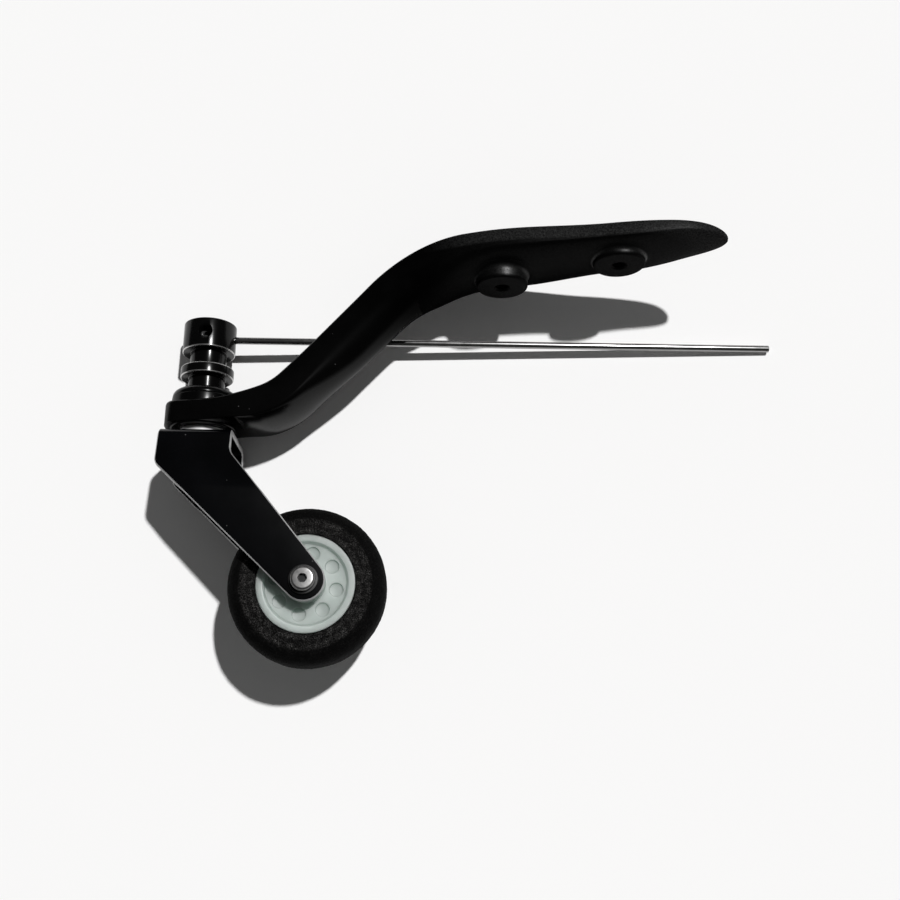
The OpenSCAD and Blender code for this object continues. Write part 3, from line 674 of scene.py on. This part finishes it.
def makeFork():  # a flat blank (x, length, depth); the length follows the fold, the depth its normal
    s, t = fork["span"] / 2, fork["topSpan"] / 2
    below = -200  # mm, anywhere under the legs' ends
    corners = [(-s, below), (-s, -fork["crease"]), (-t, 0), (t, 0), (s, -fork["crease"]), (s, below)]
    bends = [0, fork["creaseRadius"], fork["bendRadius"], fork["bendRadius"], fork["creaseRadius"], 0]
    n = forkSteps["bend"]
    fold = softCorners(corners, bends, n)[n:5 * n]  # the four bends, as seen along the fork
    quarter = np.linspace(0, math.pi / 2, forkSteps["tip"])
    dip = endHeight + (axleHeight - endHeight) * (1 - np.sin(quarter))[::-1]
    upper = np.linspace(axleHeight, -fork["crease"] - fork["legTop"], forkSteps["leg"])
    leg = np.concatenate([dip, upper[1:]])
    nearLeg = np.column_stack([0 * leg - s, leg])
    part = np.linspace(0, 1, forkSteps["slant"])[1:-1, None]
    slant = fold[n - 1] + (fold[n] - fold[n - 1]) * part  # from the crease to the top bend
    nearSide = np.vstack([nearLeg, fold[:n], slant, fold[n:2 * n]])
    level = np.linspace(fork["bridgeIn"] - t, t - fork["bridgeIn"], forkSteps["bridge"])
    bridge = np.column_stack([level, 0 * level])
    path = np.vstack([nearSide, bridge, nearSide[::-1] * [-1, 1]])
    steps = unit(np.gradient(path, axis=0))
    outward = np.column_stack([-steps[:, 1], steps[:, 0]])  # the sheet's own normal
    left, right = forkEdges(path[:, 1])
    length = np.concatenate([[0], np.cumsum(np.linalg.norm(np.diff(path, axis=0), axis=1))])
    # closed blank outline: up the leading edge from one tip to the other, back along the trailing edge
    rim = np.column_stack([np.r_[left, right[-2:0:-1]], np.r_[length, length[-2:0:-1]]])
    along = unit(np.roll(rim, -1, 0) - np.roll(rim, 1, 0))
    inward = np.column_stack([along[:, 1], -along[:, 0]])
    atAxle = np.interp(axleHeight, leg, length[:len(leg)])
    onLeg = np.minimum(length, length[-1] - length) < atAxle  # below the axle, where the blank ends round
    spine = np.column_stack([np.where(onLeg, trail, (left + right) / 2), length])
    far = length > length[-1] / 2
    spine[onLeg & ~far, 1] = atAxle
    spine[onLeg & far, 1] = length[-1] - atAxle
    middle = np.vstack([spine, spine[-2:0:-1]])
    thick, slim, deep, face = fork["sheet"], fork["bevel"], fork["bevelDepth"], fork["face"]
    bevel = [(face, 0), (slim, 0), (0, deep), (0, thick - deep), (slim, thick), (face, thick)]
    soft, sharp = fork["bevelSoft"], fork["edgeSoft"]
    n = forkSteps["bevel"]
    inset, sink = softCorners(bevel, [0, soft, sharp, sharp, soft, 0], n)[n:5 * n].T
    rows = [np.column_stack([middle, np.zeros(len(rim))])]
    rows += [np.column_stack([rim + inward * i, np.full(len(rim), d)]) for i, d in zip(inset, sink)]
    rows += [np.column_stack([middle, np.full(len(rim), thick)])]
    flat = np.stack(rows)  # x, length along the fold, depth into the sheet
    along = np.clip(flat[..., 1], 0, length[-1])
    y, z = (np.interp(along, length, path[:, k]) for k in (0, 1))
    ny, nz = (np.interp(along, length, outward[:, k]) for k in (0, 1))
    depth = flat[..., 2]
    grid = np.stack([flat[..., 0], y - depth * ny, z - depth * nz], -1)
    rowFinish = np.zeros(len(rows) - 1, int)
    rowFinish[n - 1:1 - n] = 1  # the bevels and the cut between them are bare metal
    finishes = np.repeat(rowFinish, len(rim))
    piece = surface("folded_fork", placed(grid, *onFork), finishes=finishes)
    piece.data.materials.append(coatBlack)
    piece.data.materials.append(bareEdge)
    carve(piece, rod("pivotHole", fork["pivotHole"], -6, 6, *onFork))  # the drills run well past the sheet
    carve(piece, rod("axleHole", fork["axleHole"], -40, 40, *onAxle))
    return piece


dress(makeFork(), "swivel", None, "fork_coat", "fork", crease=8)


# steering head: one turning with a clamp and a ring, drilled for the wire and its screws

head = dict(clampRadius=8.75, neckRadius=6, boreRadius=3, edge=0.35, fillet=0.25,
            clampHeight=10.1, ringHeight=3.4, groove=5.7, wireHeight=35.2, wireRadius=1.2, wireGap=0.12,
            wireBehind=3, wireAhead=12, screwRadius=2, screwFloor=1.2, mouth=0.5, mouthDeep=0.25,
            shaftScrewRadius=1.5)
headLow, headHigh = span("steering_head", swivelPoint, upWay)
clampLow = headHigh - head["clampHeight"]
ringHigh = clampLow - head["groove"]
ringLow = ringHigh - head["ringHeight"]
boltTop = span("pivot_bolt", swivelPoint, upWay)[1]
onWire = placed([0, 0, head["wireHeight"]], *onFork), np.array([acrossWay, upWay, alongWay])


def makeHead():  # a stepped profile with soft corners, turned about the swivel axis
    r, n, e, f = head["clampRadius"], head["neckRadius"], head["edge"], head["fillet"]
    bore = head["boreRadius"]
    corners = [(0, boltTop, 0), (bore, boltTop, 0), (bore, headLow, 0), (n, headLow, f),
               (n, ringLow, f), (r, ringLow, e), (r, ringHigh, e), (n, ringHigh, f),
               (n, clampLow, f), (r, clampLow, e), (r, headHigh, e), (0, headHigh, 0)]
    piece = turned("steering_head_turning", softOutline(corners, 7), *onFork, steps=224)
    wireHole = head["wireRadius"] + head["wireGap"]
    carve(piece, rod("wireHole", wireHole, -head["wireBehind"], head["wireAhead"], *onWire))
    m, s, floor, past = head["mouth"], head["screwRadius"], head["screwFloor"], 1 - head["mouthDeep"]
    outline = [(0, floor), (s, floor), (s, r - m - head["mouthDeep"]), (s + m + 1, r + past), (0, r + past)]
    carve(piece, turned("screwHole", outline, onWire[0], axleAxes, steps=96))
    screwAt = placed([0, 0, (ringHigh + clampLow) / 2], *onFork)
    carve(piece, rod("shaftScrewHole", head["shaftScrewRadius"], -n - 2, -bore, screwAt, axleAxes))
    return piece


headRims = [(head["clampRadius"], h) for h in (clampLow, ringLow, ringHigh)]
blackHead = anodisedFinish("blackAnodisedHead", headRims)
dress(makeHead(), "swivel", blackHead, "black_anodised", "steering_head", crease=50)

# washers and bushes on the pivot

dome = dict(radius=10.7, topRadius=8.2, rim=0.4, bore=3.05, edge=0.15)
domeLow, domeHigh = span("domed_washer", swivelPoint, upWay)


def makeDome():  # low rim, then a quarter of an ellipse up to the flat seat
    r, t, b, rim = dome["radius"], dome["topRadius"], dome["bore"], domeLow + dome["rim"]
    a = np.radians(np.linspace(0, 90, 25))
    flank = np.column_stack([t + (r - t) * np.cos(a), rim + (domeHigh - rim) * np.sin(a)])
    e = dome["edge"]
    outline = np.vstack([[(b, domeLow), (r - e, domeLow), (r, domeLow + e)], flank, [(b, domeHigh)]])
    return turned("domed_cover_washer", outline, *onArm, steps=192)


blackDome = anodisedFinish("blackAnodisedDome", [(dome["topRadius"], domeHigh)])
dress(makeDome(), "arm_body", blackDome, "black_anodised", "domed_washer")


def makeRing(name, node, outer, inner, origin, axes, edge=0.25):  # washer or spacer with eased edges
    low, high = span(node, origin, axes[2])
    outline = [(inner, low), (outer, low), (outer, high), (inner, high)]
    return turned(name, softCorners(outline, [edge] * 4), origin, axes, steps=128)


rings = [  # piece, node, outer and inner radius, place, finish, slot
    ("bright_thrust_washer", "thrust_washer", 7.8, 3, onFork, brightSteel, "bright_steel"),
    ("pivot_spring_washer", "pivot_lock_washer", 5.6, 3, onFork, boltSteel, "bolt_steel"),
    ("black_bolt_washer", "axle_bolt_washer", 4.6, 2, onAxle, blackSteel, "blackened_steel"),
    ("black_nut_washer", "axle_nut_washer", 4.6, 2, onAxle, blackSteel, "blackened_steel"),
    ("spacer_by_bolt_head", "near_spacer", 4.6, 2, onAxle, whiteNylon, "white_nylon"),
    ("spacer_by_nut", "far_spacer", 4.6, 2, onAxle, whiteNylon, "white_nylon"),
]
for name, node, outer, inner, place, finish, slot in rings:
    dress(makeRing(name, node, outer, inner, *place), "swivel", finish, slot, node)


bush = dict(bore=3.05, radius=5, flange=7.5)


def makeFlangedBush():  # a tube with a flange at its foot, turned about the swivel axis
    low, high = span("lower_bush", swivelPoint, upWay)
    seat = arm["housingLow"]
    b, r, f = bush["bore"], bush["radius"], bush["flange"]
    corners = [(b, low, 0.2), (f, low, 0.25), (f, seat, 0.15), (r, seat, 0), (r, high, 0.2), (b, high, 0.2)]
    return turned("flanged_pivot_bush", softOutline(corners), *onArm)


dress(makeFlangedBush(), "arm_body", brightSteel, "bright_steel", "lower_bush")

# fasteners

bolt = dict(radius=2, headRadius=3.8, headHeight=2.3, crown=0.9, domed=0.12, neck=2,
            socket=2.5, socketDepth=1.4, mouthDepth=0.18, mouthWide=0.45, mouthFoot=0.05, mouthPast=0.2,
            pitch=0.7, thread=0.36, threadLength=12, fade=1.5, nose=0.5, noseDrop=0.35, slack=0.02)


def makeAxleBolt():  # button head with a hexagon socket, plain shank and a threaded end
    low, high = span("axle_bolt", axlePoint, -acrossWay)
    seat = high - bolt["headHeight"]
    r, c = bolt["headRadius"], bolt["crown"]
    a = np.radians(np.linspace(0, 90, 17))
    crown = np.column_stack([r - c + c * np.cos(a), high - c + c * np.sin(a)])
    crown[:, 1] -= bolt["domed"] * (crown[:, 0] / r) ** 2  # the face is slightly domed
    shank, neck = bolt["radius"], seat - bolt["neck"]
    outline = np.vstack([[(0, neck), (shank, neck), (shank, seat), (r, seat)], crown, [(0, high)]])
    piece = turned("axle_button_bolt", outline, *onAxle)
    carve(piece, makeThread(low, seat - 1), "UNION")
    mouth, foot, past = bolt["socket"] / 2, high - bolt["mouthDepth"], high + bolt["mouthPast"]
    cone = [(0, foot), (mouth + bolt["mouthFoot"], foot), (mouth + bolt["mouthWide"], past), (0, past)]
    carve(piece, prism("socket", bolt["socket"], high - bolt["socketDepth"], high + 1, *onAxle))
    carve(piece, turned("socketMouth", cone, *onAxle, steps=96))
    return piece


def makeThread(low, high):  # radius falls and rises once a pitch on a helix, and fades out on the shank
    h = np.linspace(low, high, 420)[:, None]
    a = circle(48).T
    phase = ((h - low) / bolt["pitch"] - a / turn) % 1
    groove = np.abs(phase - 0.5) * 2
    fade = np.clip((low + bolt["threadLength"] - h) / bolt["fade"], 0, 1)
    nose = np.clip((low + bolt["nose"] - h) / bolt["nose"], 0, 1) * bolt["noseDrop"]
    r = bolt["radius"] - bolt["slack"] - bolt["thread"] * groove * fade - nose
    return surface("thread", placed(swept(r, a, h), *onAxle), ends=True)


dress(makeAxleBolt(), "swivel", boltSteel, "bolt_steel", "axle_bolt", crease=35)


hexagon = dict(inside=0.05, outside=0.2, chamfer=28)  # where the chamfer starts and ends, and its angle


def hexPiece(name, flats, low, high, origin, axes, chamferHigh=True):  # bar within a turned blank
    piece = prism(name, flats, low, high, origin, axes)
    inner, outer = flats / 2 - hexagon["inside"], flats / 2 / math.cos(math.pi / 6) + hexagon["outside"]
    drop = (outer - inner) * math.tan(math.radians(hexagon["chamfer"]))
    outline = [(0, low), (inner, low), (outer, low + drop), (outer, high - drop), (inner, high), (0, high)]
    if not chamferHigh:
        outline[-3:-1] = [(outer, high)]
    carve(piece, turned("blank", outline, origin, axes, steps=144), "INTERSECT")
    return piece


nut = dict(flats=7, hexHeight=3.2, collar=3.3, roll=0.7, insert=2.8, insertHeight=1.2, bore=2)


def makeLockNut():  # hexagon with a rolled-over collar that grips the nylon ring
    low, high = span("axle_nut", axlePoint, -acrossWay)
    foot = high - nut["hexHeight"]
    piece = hexPiece("axle_lock_nut", nut["flats"], foot, high, *onAxle)
    r, root = nut["collar"], high - 1  # the collar's root lies inside the hexagon
    collar = softOutline([(0, low, 0), (r, low, nut["roll"]), (r, root, 0), (0, root, 0)], 9)
    carve(piece, turned("collar", collar, *onAxle, steps=128), "UNION")
    carve(piece, rod("nutBore", nut["bore"], low - 1, high + 1, *onAxle))
    carve(piece, rod("ringSeat", nut["insert"], low - 1, low + nut["insertHeight"], *onAxle))
    return piece


dress(makeLockNut(), "swivel", boltSteel, "bolt_steel", "axle_nut")
ringPiece = makeRing("nut_locking_ring", "axle_nut_insert", nut["insert"], nut["bore"], *onAxle, edge=0.1)
dress(ringPiece, "swivel", ringNylon, "insert_nylon", "axle_nut_insert")

pivot = dict(flats=10, headHeight=4, radius=3, end=0.4)


def makePivotBolt():  # hexagon head with a plain round shank
    low, high = span("pivot_bolt", swivelPoint, upWay)
    seat = low + pivot["headHeight"]
    piece = hexPiece("pivot_hex_bolt", pivot["flats"], low, seat, *onFork, chamferHigh=False)
    r, root = pivot["radius"], seat - 1  # the shank's root lies inside the head
    shank = softOutline([(0, root, 0), (r, root, 0), (r, high, pivot["end"]), (0, high, 0)])
    carve(piece, turned("shank", shank, *onFork, steps=96), "UNION")
    return piece


dress(makePivotBolt(), "swivel", boltSteel, "bolt_steel", "pivot_bolt")

wire = dict(cutEdge=0.18)


def makeWire():  # drawn wire, straight, with the burr of the cut taken off
    low, high = span("steering_wire", swivelPoint, alongWay)
    r, e = head["wireRadius"], wire["cutEdge"]
    corners = [(0, low, 0), (r, low, e), (r, high, e), (0, high, 0)]
    return turned("straight_steering_wire", softOutline(corners), *onWire, steps=64)


dress(makeWire(), "swivel", wireSteel, "music_wire", "steering_wire")


# wheel: moulded hub and foam tyre

wheel = dict(hubRadius=15.4, hubHalf=9.5, rim=2.1, bossRadius=6, webDrop=1.4, bore=3.4,
             lipFoot=0.7, lipTop=0.3, lipStep=0.5,
             pockets=8, pocketRadius=2.25, pocketDepth=0.8, pocketTurn=34.5, pocketSoft=0.3,
             sidewall=5, bead=0.25, treadShare=0.34, lump=0.035, lumpFrom=0.3, lumpFade=0.6)
bossHalf = span("hub", axlePoint, acrossWay)[1]


def makeHub():  # one half of the profile and its mirror, turned about the axle; round pockets in both faces
    r, rim, boss = wheel["hubRadius"], wheel["hubRadius"] - wheel["rim"], wheel["bossRadius"]
    hubHalf = wheel["hubHalf"]
    web = hubHalf - wheel["webDrop"]
    lipFoot, lipTop, lipHeight = rim - wheel["lipFoot"], rim - wheel["lipTop"], web + wheel["lipStep"]
    side = [(wheel["bore"], bossHalf, 0.2), (boss, bossHalf, 0.5), (boss, web, 0.5), (lipFoot, web, 0.35),
            (lipTop, lipHeight, 0.3), (rim, hubHalf, 0.35), (r, hubHalf, 0.3)]
    corners = side + [(a, -b, c) for a, b, c in reversed(side)]
    piece = turned("nylon_hub", softOutline(corners, 7), *onAxle, steps=224)
    pocketRing, p = (boss + rim) / 2, wheel["pocketRadius"]
    deep, soft = wheel["pocketDepth"], wheel["pocketSoft"]
    for i in range(wheel["pockets"]):
        a = math.radians(wheel["pocketTurn"]) + turn * i / wheel["pockets"]
        at = placed([pocketRing * math.cos(a), pocketRing * math.sin(a), 0], *onAxle)
        for low, high in ((web - deep, web + soft), (-web - soft, deep - web)):
            outline = softOutline([(0, low, 0), (p, low, soft), (p, high, soft), (0, high, 0)])
            carve(piece, turned("pocket", outline, at, axleAxes, steps=48))
    return piece


dress(makeHub(), "wheel", whiteNylon, "white_nylon", "hub")


def makeTyre():  # flat sidewalls, elliptical shoulders, nearly flat tread, low lumps all over
    half, out = span("tyre", axlePoint, acrossWay)[1], span("tyre", axlePoint, upWay)[1]
    seat, bead = wheel["hubRadius"], wheel["bead"]
    flat = seat + wheel["sidewall"]
    tread = wheel["treadShare"] * half
    a = np.radians(np.linspace(0, 90, 28))
    inner = np.column_stack([np.linspace(seat + bead, flat, 14)[:-1], np.full(13, half)])
    shoulder = np.column_stack([flat + (out - flat) * np.sin(a), tread + (half - tread) * np.cos(a)])
    crown = np.column_stack([np.full(7, out), np.linspace(tread, 0, 8)[1:]])
    oneSide = np.vstack([[(seat, half - bead)], inner, shoulder, crown])
    profile = np.vstack([oneSide, oneSide[-2::-1] * [1, -1]])
    a = circle(400)
    draw = np.random.default_rng(11)
    lumps = draw.normal(size=(len(a), len(profile)))
    for shift in (1, 2, 4):  # neighbouring points are averaged until the lumps are a millimetre wide
        lumps = (lumps + np.roll(lumps, shift, 0) + np.roll(lumps, shift, 1)) / 3
    lumps *= wheel["lump"] / lumps.std()
    fade = np.clip((profile[:, 0] - seat - wheel["lumpFrom"]) / wheel["lumpFade"], 0, 1)
    along = unit(np.gradient(profile, axis=0))
    r = profile[:, 0] + (lumps - 2 * wheel["lump"]) * fade * -along[:, 1]
    h = profile[:, 1] + (lumps - 2 * wheel["lump"]) * fade * along[:, 0]
    return surface("foam_tyre", placed(swept(r, a, h), *onAxle), wrapRows=True)


dress(makeTyre(), "wheel", foamBlack, "foam_rubber", "tyre", crease=60)

# pieces whose solid already has the right form
asBuilt = [("upper_bush", bronze), ("hub_bush", bronze),
           ("wire_set_screw", blackSteel), ("shaft_set_screw", blackSteel)]
for node, finish in asBuilt:
    piece = frame["nodes"][node]
    piece.data.materials.clear()
    piece.data.materials.append(finish)
print("all pieces dressed")


# table: the assembly lies on its head, the wire's end and the axle's end

table = dict(size=4.0, gap=0.00015, colour=0.93, cloud=0.01, warmth=0.004)  # size and gap in metres


def makeTable():  # a square in the plane of the three points that touch it
    headSide = placed([0, head["clampRadius"], headHigh - 1], *onFork)
    wireEnd = span("steering_wire", swivelPoint, alongWay)[1]
    wireSide = placed([wireEnd, head["wireRadius"], head["wireHeight"]], *onFork)
    axleEnd = axlePoint + acrossWay * span("axle_bolt", axlePoint, acrossWay)[1] * mm
    u = unit(wireSide - headSide)
    normal = unit(np.cross(u, axleEnd - headSide))
    normal *= -np.sign(normal @ acrossWay)  # faces the camera
    v = np.cross(normal, u)
    centre = headSide - normal * table["gap"]
    square = np.array([(-1, -1), (1, -1), (1, 1), (-1, 1)]) * table["size"] / 2
    corners = centre + square @ np.array([u, v])
    mesh = bpy.data.meshes.new("table")
    mesh.from_pydata(corners, [], [(0, 1, 2, 3)])
    piece = added("table", mesh)
    return piece


def tableFinish():  # pale matt top; seen from behind it is clear, so that it hides nothing
    material, spot = startFinish("paleTable")
    cloud = spot.noise(6, 2)
    tone = grey(table["colour"], table["warmth"])
    paler = grey(table["colour"] + table["cloud"], table["warmth"])
    setFinish(material, baseColor=cloud.colours(tone, paler), roughness=0.9, specularIorLevel=0.1)
    tree = material.node_tree
    back = spot.node("NewGeometry", None, None, "Backfacing")
    clear = spot.node("BsdfTransparent")
    skin = Sock(tree, tree.nodes["skin"].outputs[0])
    mixed = spot.node("MixShader", None, {0: back, 1: skin, 2: clear})
    tree.links.new(mixed.socket, tree.nodes["end"].inputs[0])
    return material


tablePiece = makeTable()
tablePiece.data.materials.append(tableFinish())


# light and camera

light = dict(fromWay=(0.47, -0.838, 0.275), angle=2.0, strength=3.36, fill=0.10, front=0.03)


def aimed(place, back, roll=0.0):  # stands at a place, looks against back, and is level but for the roll
    back = unit(np.array(back))
    right = unit(np.cross(upWay, back))
    up = np.cross(back, right)
    c, s = math.cos(math.radians(roll)), math.sin(math.radians(roll))
    matrix = Matrix(np.column_stack([right * c + up * s, up * c - right * s, back]).tolist()).to_4x4()
    matrix.translation = place
    return matrix


def makeSun():  # one small hard lamp
    lamp = bpy.data.lights.new("key", "SUN")
    lamp.angle = math.radians(light["angle"])
    lamp.energy = light["strength"]
    added("key", lamp).matrix_world = aimed(light["fromWay"], light["fromWay"])


def makeWorld():  # dim even studio, with a white backdrop that the camera and metal see
    world = bpy.data.worlds.new("studio")
    bpy.context.scene.world = world
    world.use_nodes = True
    tree = world.node_tree
    tree.nodes.clear()
    path = tree.nodes.new("ShaderNodeLightPath")
    kinds = ("Camera", "Glossy", "Transmission")
    seen, glossy, through = (Sock(tree, path.outputs["Is " + kind + " Ray"]) for kind in kinds)
    towards = Sock(tree, tree.nodes.new("ShaderNodeTexCoord").outputs["Generated"])
    backdrop = towards.part(1).step(-0.1, 0.45)
    white = seen.larger((glossy + through) * backdrop)
    dim = light["fill"] - glossy * (light["fill"] - light["front"])
    strength = dim + white * (1 - dim)
    surround = seen.node("Background", None, {0: (1, 1, 1, 1), 1: strength})
    tree.links.new(surround.socket, tree.nodes.new("ShaderNodeOutputWorld").inputs[0])


camera = dict(place=(22.6, -310.1, -165.2), aim=(-36.13, -0.14, -68.37), roll=0.21, lens=42, sensor=36,
              clip=10)  # mm and degrees


def makeCamera():  # stands where the photo was taken from
    lens = bpy.data.cameras.new("camera")
    lens.lens = camera["lens"]
    lens.sensor_width = camera["sensor"]
    lens.clip_start = camera["clip"] * mm
    view = added("camera", lens)
    place, aim = np.array(camera["place"]) * mm, np.array(camera["aim"]) * mm
    view.matrix_world = aimed(place, place - aim, camera["roll"])
    bpy.context.scene.camera = view


makeSun()
makeWorld()
makeCamera()
bpy.context.scene.view_settings.view_transform = "Standard"
print("stage ready")
